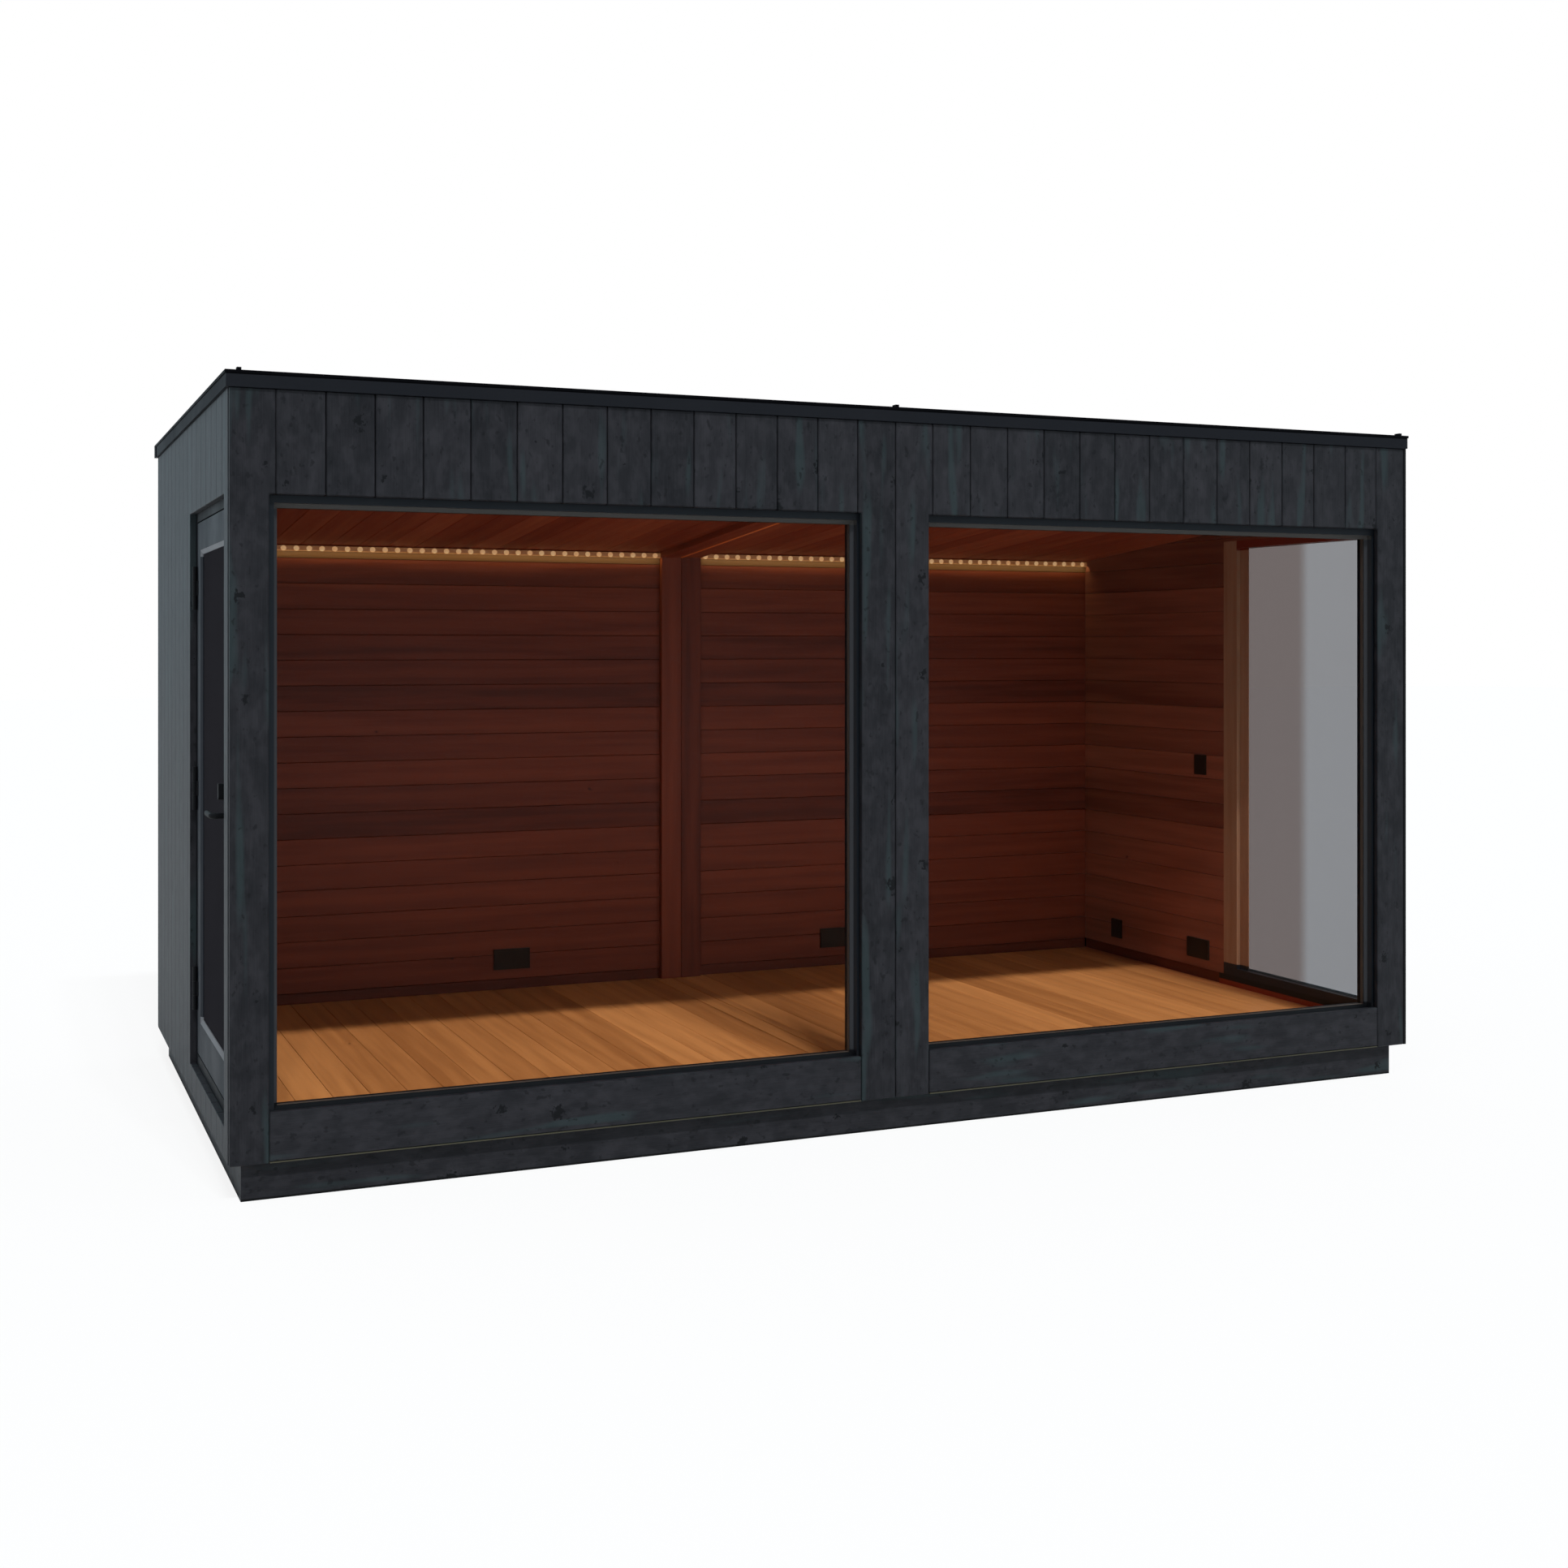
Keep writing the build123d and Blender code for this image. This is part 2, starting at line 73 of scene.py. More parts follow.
# The corner and middle boards are wide over a front window and narrow beside it
CORNER_WIDE = 0.1375
CORNER_NARROW = {-1: 0.118, 1: 0.130}
MIDDLE_WIDE = 0.1445
MIDDLE_NARROW = 0.1305

# Unstained edge under the sill boards, and the strip at the right corner, black as painted shade
RAW_EDGE = 0.004
RAW_EDGE_GAP = 0.0004
RAW_EDGE_AHEAD = 0.0008
CORNER_STRIP = 0.0105
CORNER_LAP = 0.001

# Boards inside
WALL_PITCH = 0.107
LEAST_ROW = 0.01
CEILING_PITCH = 0.118
LINING_GAP = 0.0014
LINING_EDGE = 0.0013
SKIRTING_INSET = 0.004
SKIRTING_GAP = 0.001
JOINT_GAP = 0.001
BEAM_BOARD = 0.025
SEAM_WIDTH = 0.012
SEAM_DROP = 0.027
SEAM_DEPTH = 0.003

# Floor boards, with two wider seams beside the module joint
FLOOR_PITCH = 0.121
FLOOR_EDGE = 0.0012
FLOOR_SEAMS = (-0.124, -0.045)
WIDE_SEAM = 0.005
FIRST_FLOOR_BOARD = 0.114
FLOOR_JOINT = 0.0004

# Strip lights: a row of dots on a lens over a moulding, and a lamp that stands in for their glow
LED_PITCH = 0.052
LED_RADIUS = 0.0105
LED_SHAPE = (1.2, 0.35, 1.1)
LED_SIDES = 10
LED_RINGS = 6
LENS_SHARE = 0.15
LENS_RISE = 0.010
LENS_AHEAD = 0.001
LENS_DEPTH = 0.0005
MOULDING = 0.028
MOULDING_AHEAD = 0.002
MOULDING_DEPTH = 0.003
GLOW_POWER = 0.85
GLOW_COLOUR = (1.0, 1.0, 0.55)
GLOW_REACH = 0.013
GLOW_DROP = 0.001
GLOW_WIDTH = 0.01
GLOW_TILT = math.radians(30)

# Parts of the windows
SPACER = 0.010
SPACER_INSET = 0.001
PANE_FACE = 0.004
POST_BEAD = 0.060
POST_BEAD_DEPTH = 0.003
POST_BEAD_GAP = 0.0002
DARKER_BACK_EDGE = -0.615
DARKER_BACK_BLUR = 0.025

# Edges of pieces too small for a rounder one
STRIP_EDGE = 0.0008
RAW_EDGE_ROUND = 0.0006
SKIRTING_EDGE = 0.001
BEAD_EDGE = 0.0005
SPACER_EDGE = 0.0003
LENS_EDGE = 0.0001

# Heights at which a paint changes
GROUND_SHADE_TOP = 0.007
SILL_SHADE_TOP = 0.214
PARAPET_FOOT = 2.2

# Distances from a piece's edge or face at which its paint changes
TRIM_SHADED_SIDE = 0.002
TRIM_CAP = 0.012
FRAME_BEAD_DEPTHS = (0.002, 0.04)
FRAME_BEAD_STEP = 0.022
FRAME_END = 0.04
DOOR_BEAD_DEPTHS = (0.0004, 0.012)
DOOR_BEAD_SIDE = 0.005
DOOR_BEAD_REACH = 0.02
JAMB_SIDE = 0.01
JAMB_SHADED_HEAD = 0.02
JAMB_FOOT = 0.03
SILL_FACE = 0.01
SPACER_FOOT = 0.02


# Materials

class Nodes:
    """Short calls for the nodes of one node tree."""

    def __init__(self, tree):
        self.tree = tree

    def put(self, socket, value):
        """Sets a socket, or links it where the value is another node's output."""
        if isinstance(value, bpy.types.NodeSocket):
            self.tree.links.new(value, socket)
        else:
            socket.default_value = value

    def node(self, kind, inputs=(), **settings):
        made = self.tree.nodes.new("ShaderNode" + kind)
        for key, value in settings.items():
            setattr(made, key, value)
        for key, value in dict(inputs).items():
            self.put(made.inputs[key], value)
        return made

    def math(self, operation, a, b=0.0, clamp=False):
        return self.node("Math", {0: a, 1: b}, operation=operation, use_clamp=clamp).outputs[0]

    def mix(self, factor, a, b):
        """Colour a, carried over to colour b by a factor."""
        made = self.node("Mix", data_type="RGBA")
        self.put(made.inputs["Factor"], factor)
        for socket, value in ((made.inputs[6], a), (made.inputs[7], b)):
            self.put(socket, value)
        return made.outputs[2]


class Shader(Nodes):
    """A new material and short calls for the nodes that the materials share."""

    def __init__(self, name):
        self.material = bpy.data.materials.new(name)
        self.material.use_nodes = True
        super().__init__(self.material.node_tree)
        self.main = self.tree.nodes["Principled BSDF"]

    def vector(self, operation, a, b):
        return self.node("VectorMath", {0: a, 1: b}, operation=operation).outputs["Vector"]

    def ramp(self, value, low, high, start=0.0, end=1.0):
        """value from low to high, carried over to start to end and held there."""
        inputs = {"Value": value, "From Min": low, "From Max": high, "To Min": start, "To Max": end}
        return self.node("MapRange", inputs, interpolation_type="SMOOTHSTEP").outputs["Result"]

    def noise(self, vector, scale=1.0, detail=3.0, roughness=0.55):
        inputs = {"Vector": vector, "Scale": scale, "Detail": detail, "Roughness": roughness}
        return self.node("TexNoise", inputs).outputs[0]

    def stretched(self, vector, along, across, through=None):
        return self.vector("MULTIPLY", vector, (along, across, across if through is None else through))

    def axis(self, vector, number):
        return self.node("SeparateXYZ", {0: vector}).outputs[number]

    def frame_place(self):
        """Place in the frame."""
        return self.node("TexCoord").outputs["Object"]

    def wood_place(self, order):
        """Place along, across and through the wood, and its tone.

        Both come from the board, where each has a start and a tone of its own. With an order of the
        frame's axes, such as ZXY, the place follows those and the tone is a middle one.
        """
        if not order:
            place = self.node("Attribute", attribute_name="grain").outputs["Vector"]
            return place, self.node("Attribute", attribute_name="tone").outputs["Fac"]
        split = self.node("SeparateXYZ", {0: self.frame_place()})
        joined = self.node("CombineXYZ")
        for socket, axis in zip(joined.inputs, order):
            self.put(socket, split.outputs[axis])
        return joined.outputs[0], 0.5

    def inside(self, low, high):
        """1 between two corners in the frame, and 0 outside them."""
        half = [(b - a) / 2 for a, b in zip(low, high)]
        middle = [(a + b) / 2 for a, b in zip(low, high)]
        offset = self.vector("SUBTRACT", self.frame_place(), middle)
        share = self.node("SeparateXYZ", {0: self.vector("DIVIDE", offset, half)})
        reach = [self.math("ABSOLUTE", share.outputs[axis]) for axis in range(3)]
        furthest = self.math("MAXIMUM", self.math("MAXIMUM", reach[0], reach[1]), reach[2])
        return self.math("LESS_THAN", furthest, 1.0)

    def painted(self, base, patches):
        """The base colour under patches of other paint."""
        for low, high, paint in patches:
            base = self.mix(self.inside(low, high), base, paint)
        return base

    def bump(self, height, strength, distance):
        made = self.node("Bump", {"Height": height, "Strength": strength, "Distance": distance})
        self.put(self.main.inputs["Normal"], made.outputs[0])

    def done(self, **inputs):
        for key, value in inputs.items():
            self.put(self.main.inputs[key.replace("_", " ")], value)
        return self.material

    def mixed(self, share, other):
        """The material with another shader over the main one, by a share."""
        surface = self.node("MixShader", {0: share, 1: self.main.outputs[0], 2: other.outputs[0]})
        self.put(self.tree.nodes["Material Output"].inputs["Surface"], surface.outputs[0])
        return self.material


def colour(red, green, blue):
    """A colour written as on a screen, 0 to 255, as the linear one that shaders take."""
    shares = [value / 255 for value in (red, green, blue)]
    return (*(((c + 0.055) / 1.055) ** 2.4 if c > 0.04045 else c / 12.92 for c in shares), 1.0)


def darker(tint, share):
    return (*(c * share for c in tint[:3]), 1.0)


def knots(shader, place, along, across, radius, share, ragged=1.0):
    """Masks of knots and of the grain round them.

    A share of the cells of a grid has a knot each, with along and across as its cells to the metre. radius
    is in metres, and ragged says how far an outline wanders.
    """
    scaled = shader.stretched(place, along, across)
    cell = shader.node(
        "TexVoronoi", {"Vector": scaled, "Scale": 1.0, "Randomness": 0.9}, voronoi_dimensions="2D"
    )
    offset = shader.vector("SUBTRACT", scaled, cell.outputs["Position"])
    metres = shader.stretched(offset, 0.8 / along, 1 / across, 0.0)
    distance = shader.node("VectorMath", {0: metres}, operation="LENGTH").outputs["Value"]
    wobble = shader.ramp(shader.noise(place, 70.0, 3.0), 0.34, 0.62)
    distance = shader.math("ADD", distance, shader.math("MULTIPLY", wobble, radius * ragged))
    chance = shader.node("SeparateColor", {0: cell.outputs["Color"]}).outputs
    distance = shader.math("MULTIPLY", distance, shader.ramp(chance[1], 0.0, 1.0, 0.75, 1.9))
    picked = shader.math("LESS_THAN", chance[0], share)
    core = shader.ramp(distance, radius * (ragged + 0.3), radius * (ragged - 0.1))
    halo = shader.ramp(distance, radius * 4, radius * 1.2)
    return shader.math("MULTIPLY", core, picked), shader.math("MULTIPLY", halo, picked)


def stained_wood(name, dark, light, teal, order=None, patches=()):
    """Dark stained softwood: a cloudy, spotted stain, teal streaks, ragged knots and fine raised grain."""
    shader = Shader(name)
    place, tone = shader.wood_place(order)
    core, halo = knots(shader, place, 3.0, 7.5, 0.0085, 0.6, 2.4)
    swerve = shader.node("CombineXYZ", {1: shader.math("MULTIPLY", halo, 0.02)}).outputs[0]
    bent = shader.vector("ADD", place, swerve)
    cloud = shader.noise(shader.stretched(place, 7.0, 14.0), 1.0, 4.0, 0.6)
    smudge = shader.noise(shader.stretched(bent, 17.0, 30.0), 1.0, 3.0, 0.5)
    spots = shader.noise(shader.stretched(place, 34.0, 48.0), 1.0, 2.0, 0.5)
    smear = shader.noise(shader.stretched(place, 2.2, 20.0), 1.0, 1.0)
    fine = shader.noise(shader.stretched(bent, 10.0, 350.0), 1.0, 4.0, 0.7)
    level = shader.math("ADD", shader.ramp(cloud, 0.3, 0.7, 0.12, 0.42), shader.math("MULTIPLY", tone, 0.24))
    level = shader.math("ADD", level, shader.ramp(smudge, 0.4, 0.68, 0.0, 0.3))
    level = shader.math("ADD", level, shader.ramp(fine, 0.25, 0.75, -0.12, 0.1), clamp=True)
    base = shader.mix(level, dark, light)
    base = shader.mix(shader.ramp(smear, 0.58, 0.72, 0.0, 0.55), base, teal)
    base = shader.mix(shader.ramp(spots, 0.62, 0.72, 0.0, 0.6), base, colour(11, 12, 14))
    base = shader.mix(shader.math("MULTIPLY", core, 0.95), base, colour(8, 9, 11))
    base = shader.painted(base, patches)
    shader.bump(shader.math("SUBTRACT", fine, shader.math("MULTIPLY", core, 0.5)), 0.25, 0.0005)
    roughness = shader.ramp(fine, 0.25, 0.75, 0.6, 0.5)
    return shader.done(Base_Color=base, Roughness=roughness, Specular_IOR_Level=0.12)


def oiled_wood(
    name, dark, light, deep, roughness=0.5, order=None, tone_share=0.7, flow=1.0, patches=(), painted_shade_rims=()
):
    """Warm softwood with a flowing grain, fine pores and a tone of its own on each board.

    The last argument holds, for a border of painted shade, an axis, its start, its end and the border's share
    at the end.
    """
    shader = Shader(name)
    place, tone = shader.wood_place(order)
    core, halo = knots(shader, place, 0.7, 5.0, 0.008, 0.3)
    drift = shader.noise(shader.stretched(place, 0.9, 5.0), 1.0, 2.0)
    across = shader.axis(place, 1)
    wave = shader.math("ADD", shader.math("MULTIPLY", across, 24.0), shader.math("MULTIPLY", drift, 5.0))
    ring = shader.math("PINGPONG", shader.math("ADD", wave, halo), 1.0)
    pores = shader.noise(shader.stretched(place, 12.0, 420.0), 1.0, 3.0, 0.7)
    streak = shader.noise(shader.stretched(place, 1.2, 26.0), 1.0, 3.0)
    level = shader.math("MULTIPLY", tone, tone_share)
    level = shader.math("ADD", level, shader.ramp(streak, 0.3, 0.7, -0.12 * flow, 0.3 * flow))
    level = shader.math("ADD", level, shader.ramp(ring, 0.0, 1.0, -0.05, 0.1))
    level = shader.math("ADD", level, shader.ramp(pores, 0.2, 0.8, -0.08, 0.08), clamp=True)
    base = shader.mix(level, dark, light)
    base = shader.mix(shader.math("MULTIPLY", core, 0.7), base, deep)
    base = shader.mix(shader.ramp(pores, 0.62, 0.8, 0.0, 0.3), base, deep)
    base = shader.painted(base, patches)
    # Painted shade: a red-brown border that darkens the wood towards an edge
    for axis, start, end, most in painted_shade_rims:
        reach = shader.axis(shader.frame_place(), axis)
        base = shader.mix(shader.ramp(reach, start, end, 0.0, most), base, colour(118, 42, 20))
    shader.bump(shader.math("ADD", pores, shader.math("MULTIPLY", ring, 0.4)), 0.25, 0.0004)
    rough = shader.ramp(pores, 0.2, 0.8, roughness - 0.06, roughness + 0.08)
    return shader.done(Base_Color=base, Roughness=rough, Specular_IOR_Level=0.25)


def painted_metal(name, base, pale, roughness=0.45, specular=0.35, dust=0.25, patches=()):
    """Powder-coated metal or a smooth paint: a fine orange-peel surface and a little settled dust."""
    shader = Shader(name)
    place = shader.frame_place()
    peel = shader.noise(place, 900.0, 2.0)
    cloud = shader.noise(place, 3.5, 4.0)
    dusted = shader.mix(shader.ramp(cloud, 0.4, 0.75, 0.0, dust), base, pale)
    shader.bump(peel, 0.12, 0.0002)
    rough = shader.ramp(cloud, 0.3, 0.7, roughness - 0.05, roughness + 0.08)
    return shader.done(
        Base_Color=shader.painted(dusted, patches), Roughness=rough, Specular_IOR_Level=specular
    )


def glass(name, tint, ior, specular=0.2, clear=1.0, darker_back=None, darker_back_edge=None):
    """Tinted float glass that lets the lamps through, in a darker tint from an edge on y to the back when one
    is given.
    """
    shader = Shader(name)
    place = shader.frame_place()
    cloud = shader.noise(place, 1.3, 2.0)
    base = shader.mix(shader.ramp(cloud, 0.3, 0.7, 0.0, 0.06), tint, darker(tint, 0.8))
    if darker_back:
        edge = shader.ramp(shader.axis(place, 1), darker_back_edge - DARKER_BACK_BLUR, darker_back_edge + DARKER_BACK_BLUR)
        base = shader.mix(edge, base, darker_back)
    shader.done(
        Base_Color=base, Roughness=0.0, IOR=ior, Transmission_Weight=clear, Specular_IOR_Level=specular
    )
    lamp_ray = shader.node("LightPath").outputs["Is Shadow Ray"]
    return shader.mixed(lamp_ray, shader.node("BsdfTransparent"))


def glowing(name, base, glow, strength):
    """A small lamp's lens in patches of two glows, darker where it only reflects."""
    shader = Shader(name)
    cloud = shader.ramp(shader.noise(shader.frame_place(), 40.0, 1.0), 0.3, 0.7)
    skin = shader.mix(cloud, darker(base, LENS_SHARE), darker(glow, LENS_SHARE))
    shine = shader.mix(cloud, base, glow)
    return shader.done(Base_Color=skin, Roughness=0.5, Emission_Color=shine, Emission_Strength=strength)


FAR = 9.0
EVERYWHERE = (-FAR, FAR)


def patch(paint, x=EVERYWHERE, y=EVERYWHERE, z=EVERYWHERE):
    """A box in the frame, endless along an axis that isn't given, and the paint inside it."""
    return (x[0], y[0], z[0]), (x[1], y[1], z[1]), paint


trim_low, trim_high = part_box("roof_trim_long")
frame_low, frame_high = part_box("front_window_frames")
front_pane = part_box("front_window_glass")
side_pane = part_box("side_window_glass")
door_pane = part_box("door_glass")
leaf_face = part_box("door_leaf")[0].x
sill_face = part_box("side_window_sill")[0].x

DEEP_WOOD = colour(44, 14, 7)
WALL_WOOD = colour(88, 35, 19), colour(131, 60, 36), DEEP_WOOD
STAIN = colour(16, 17, 20), colour(42, 42, 46), colour(39, 51, 53)
FRAME_BEAD = tuple(frame_low.y + depth for depth in FRAME_BEAD_DEPTHS)
FRAME_FOOT = (-FAR, frame_low.z + FRAME_END)


def door_bead_highlight(z):
    """Painted highlight: a paler stretch of the door's outer bead at a height, for light caught by the bead.
    """
    return patch(
        colour(110, 112, 116),
        x=tuple(leaf_face + depth for depth in DOOR_BEAD_DEPTHS),
        y=(door_pane[0].y - DOOR_BEAD_SIDE, door_pane[1].y + DOOR_BEAD_SIDE),
        z=(z - DOOR_BEAD_REACH, z + DOOR_BEAD_REACH),
    )


materials = {
    "cladding": stained_wood("stained_boards", *STAIN),
    # Painted shade: the plinth's lowest few millimetres near-black where it meets the ground
    "plinth": stained_wood(
        "stained_plinth", *STAIN, order="XZY", patches=[patch(colour(5, 5, 6), z=(-FAR, GROUND_SHADE_TOP))]
    ),
    "lining": oiled_wood("lining_boards", *WALL_WOOD),
    # Painted light: the right wall's boards are the wall wood in a paler, less red copy
    "right_lining": oiled_wood("right_lining_painted_light", colour(104, 54, 38), colour(150, 86, 64), DEEP_WOOD),
    "reveal": oiled_wood("reveal_boards", *WALL_WOOD, order="ZXY"),
    # Painted shade: the skirting boards are a darker copy of the wall wood, for the shade of the gap under
    # the lining
    "skirting": oiled_wood("skirting_boards", colour(80, 32, 17), colour(104, 44, 25), DEEP_WOOD),
    # Painted light: the ceiling and beam boards are the wall wood in a paler copy, for the light they lack
    "ceiling": oiled_wood("ceiling_boards", colour(126, 51, 30), colour(172, 92, 60), DEEP_WOOD),
    # Painted highlight: a pale orange bead that stands in for a lit edge along the beam
    "seam": oiled_wood("seam_bead_painted_highlight", colour(250, 132, 66), colour(255, 160, 92), DEEP_WOOD),
    # Painted shade: the floor darkens to red-brown towards the right wall and the side window's sill
    "floor": oiled_wood(
        "floor_boards", colour(168, 106, 57), colour(226, 153, 89), colour(96, 50, 22), roughness=0.42,
        tone_share=0.55, flow=0.7, painted_shade_rims=[(0, 2.0, 2.19, 0.95)],
    ),
    "jamb": oiled_wood(
        "jamb_wood", colour(148, 106, 80), colour(170, 130, 102), colour(100, 64, 42), order="ZYX",
        patches=[
            # Painted shade: the jamb's head above the pane, on its rear part, in a dark red-brown
            patch(
                colour(120, 44, 28), y=(-FAR, side_pane[1].y - JAMB_SIDE), z=(side_pane[1].z - JAMB_SHADED_HEAD, FAR)
            ),
            patch(colour(33, 33, 37), z=(-FAR, side_pane[0].z + JAMB_FOOT)),
        ],
    ),
    "moulding": oiled_wood("moulding_wood", colour(66, 39, 21), colour(92, 58, 34), DEEP_WOOD),
    "raw_edge": oiled_wood("raw_edge", colour(49, 48, 38), colour(62, 60, 47), colour(34, 32, 24)),
    "trim": painted_metal(
        "trim_metal", colour(25, 27, 31), colour(31, 33, 37), 0.6, 0.03,
        patches=[
            # Painted shade: the left-facing face of the trim darker than the front
            patch(colour(17, 17, 21), x=(-FAR, trim_low.x + TRIM_SHADED_SIDE)),
            patch(colour(4, 4, 6), z=(trim_high.z - TRIM_CAP, FAR)),
        ],
    ),
    "roof": painted_metal("roof_sheet", colour(52, 55, 60), colour(72, 75, 80), 0.6, 0.3, 0.6),
    "frame": painted_metal(
        "window_frame_paint", colour(17, 21, 26), colour(23, 27, 32), 0.5, 0.15,
        patches=[
            patch(colour(42, 43, 46), y=FRAME_BEAD),
            # Painted highlight: the bead at the head paler than at the jambs
            patch(colour(62, 60, 58), y=FRAME_BEAD, z=(frame_high.z - FRAME_END, FAR)),
            # Painted shade: at the foot the frame and bead share one flat tone, the bead darker than
            # elsewhere, and the bead's deep strip is near-black
            patch(colour(24, 26, 30), y=(-FAR, FRAME_BEAD[1]), z=FRAME_FOOT),
            patch(colour(6, 6, 8), y=(FRAME_BEAD[0] + FRAME_BEAD_STEP, FRAME_BEAD[1]), z=FRAME_FOOT),
        ],
    ),
    "sill": painted_metal(
        "sill_paint", colour(17, 17, 20), colour(24, 24, 27), 0.45, 0.2,
        # Painted shade: the lower part of the sill's inner face in red-brown, for the reddish shade over the
        # floor's edge
        patches=[patch(colour(140, 50, 26), x=(-FAR, sill_face + SILL_FACE), z=(-FAR, SILL_SHADE_TOP))],
    ),
    "door": painted_metal(
        "door_paint", colour(30, 33, 39), colour(36, 40, 46), 0.6, 0.12,
        # Painted highlights on the door's bead over and under the pane
        patches=[door_bead_highlight(door_pane[1].z), door_bead_highlight(door_pane[0].z)],
    ),
    "door_frame": painted_metal("door_frame_paint", colour(14, 15, 18), colour(20, 22, 26), 0.6, 0.06),
    "black": painted_metal("black_metal", colour(10, 10, 12), colour(18, 18, 21), 0.6, 0.1),
    "spacer": painted_metal("pane_spacer", colour(70, 62, 56), colour(84, 76, 70), 0.5, 0.3),
    "side_spacer": painted_metal(
        "side_pane_spacer", colour(160, 118, 90), colour(172, 132, 104), 0.5, 0.2,
        patches=[patch(colour(12, 12, 14), z=(-FAR, side_pane[0].z + SPACER_FOOT))],
    ),
    "core": painted_metal(
        "wall_core", colour(24, 12, 8), colour(32, 18, 12), 0.85, 0.05,
        patches=[patch(colour(46, 49, 54), z=(PARAPET_FOOT, FAR))],
    ),
    "plate": painted_metal("plate_plastic", colour(40, 28, 21), colour(47, 34, 26), 0.45, 0.2),
    "led": glowing("strip_light", colour(226, 142, 84), colour(236, 158, 96), 0.18),
    "led_dot": glowing("strip_light_dot", colour(255, 190, 130), colour(255, 206, 150), 0.5),
    "front_glass": glass("front_glass", (0.82, 0.825, 0.83, 1), 1.045),
    # The side pane is darker from an edge on y to its back
    "side_glass": glass(
        "side_glass", (0.307, 0.312, 0.326, 1), 1.015, darker_back=(0.195, 0.166, 0.161, 1), darker_back_edge=DARKER_BACK_EDGE
    ),
    "door_glass": glass("door_glass", (0.028, 0.027, 0.032, 1), 1.002, 0.05, clear=0.2),
}


# Boards

class Boards:
    """Boards gathered into one mesh, each with its own stretch of grain and its own tone."""

    def __init__(self, name, seed):
        self.name = name
        self.mesh = bmesh.new()
        self.grain = self.mesh.verts.layers.float_vector.new("grain")
        self.tone = self.mesh.verts.layers.float.new("tone")
        self.chance = random.Random(seed)

    def add(self, outline, place, thickness, along="v", tone=None):
        """One board.

        outline holds (u, v) corners, place turns u, v and the depth below the face into a point, and along
        says which of u and v the grain follows.
        """
        start = [self.chance.uniform(0, 40) for axis in range(3)]
        tone = self.chance.random() if tone is None else tone
        faces = []
        for depth in (0.0, thickness):
            ring = []
            for u, v in outline:
                vertex = self.mesh.verts.new(place(u, v, depth))
                run, cross = (v, u) if along == "v" else (u, v)
                vertex[self.grain] = Vector((run + start[0], cross + start[1], depth + start[2]))
                vertex[self.tone] = tone
                ring.append(vertex)
            faces.append(ring)
        self.mesh.faces.new(faces[0])
        self.mesh.faces.new(reversed(faces[1]))
        count = len(outline)
        for i in range(count):
            j = (i + 1) % count
            self.mesh.faces.new((faces[0][j], faces[0][i], faces[1][i], faces[1][j]))

    def finish(self, material, replaced=(), edge=BOARD_EDGE, body="cabin"):
        """The boards with chamfered edges, as one piece."""
        bmesh.ops.recalc_face_normals(self.mesh, faces=self.mesh.faces)
        bmesh.ops.bevel(
            self.mesh, geom=self.mesh.edges, offset=edge, segments=1, affect="EDGES", clamp_overlap=True
        )
        keep(self.name, self.mesh, material, replaced, body)


def keep(name, mesh, material, replaced=(), body="cabin"):
    """Makes a mesh a piece that rides on a body."""
    data = bpy.data.meshes.new(name)
    mesh.to_mesh(data)
    mesh.free()
    piece = bpy.data.objects.new(name, data)
    scene.collection.objects.link(piece)
    data.materials.append(materials[material])
    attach(piece, body)
    if replaced:
        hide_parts(*replaced)


def rectangle(u0, u1, v0, v1):
    return [(u0, v0), (u1, v0), (u1, v1), (u0, v1)]


def clipped(outline, height):
    """The part of an outline that lies below the line v = height(u)."""
    kept = []
    for (u0, v0), (u1, v1) in zip(outline, outline[1:] + outline[:1]):
        over0, over1 = v0 - height(u0), v1 - height(u1)
        if over0 <= 0:
            kept.append((u0, v0))
        if (over0 < 0) != (over1 < 0) and abs(over0 - over1) > 1e-9:
            share = over0 / (over0 - over1)
            kept.append((u0 + share * (u1 - u0), v0 + share * (v1 - v0)))
    return kept


def around(hole, u0, u1, v0, v1):
    """The outlines that are left of a strip from v0 to v1 when a hole (u0, u1, v0, v1) is cut out of it."""
    a, b, c, d = hole
    if u1 <= a or u0 >= b:
        return [rectangle(u0, u1, v0, v1)]
    if u0 >= a and u1 <= b:
        return [rectangle(u0, u1, v0, c), rectangle(u0, u1, d, v1)]
    if u0 < a:
        return [[(u0, v0), (u1, v0), (u1, c), (a, c), (a, d), (u1, d), (u1, v1), (u0, v1)]]
    return [[(u0, v0), (u1, v0), (u1, v1), (u0, v1), (u0, d), (b, d), (b, c), (u0, c)]]


def strips(start, end, pitch, gap):
    """Equal strips from start to end, about pitch wide, with a gap between them."""
    count = max(1, round((end - start) / pitch))
    step = (end - start) / count
    return [(start + i * step + gap / 2, start + (i + 1) * step - gap / 2) for i in range(count)]


low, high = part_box("cladding_front_left")
FRONT_Y, CLADDING, HALF, BASE, EAVES = low.y, high.y - low.y, -low.x, low.z, high.z
WINDOW_TOP = frame_high.z
WINDOW_BOTTOM = BASE + SILL_BOARD


def on_front(u, v, depth):
    return (u, FRONT_Y + depth, v)


def on_back(u, v, depth):
    return (u, -FRONT_Y - depth, v)


def on_side(side):
    return lambda u, v, depth: (side * (HALF - depth), u, v)


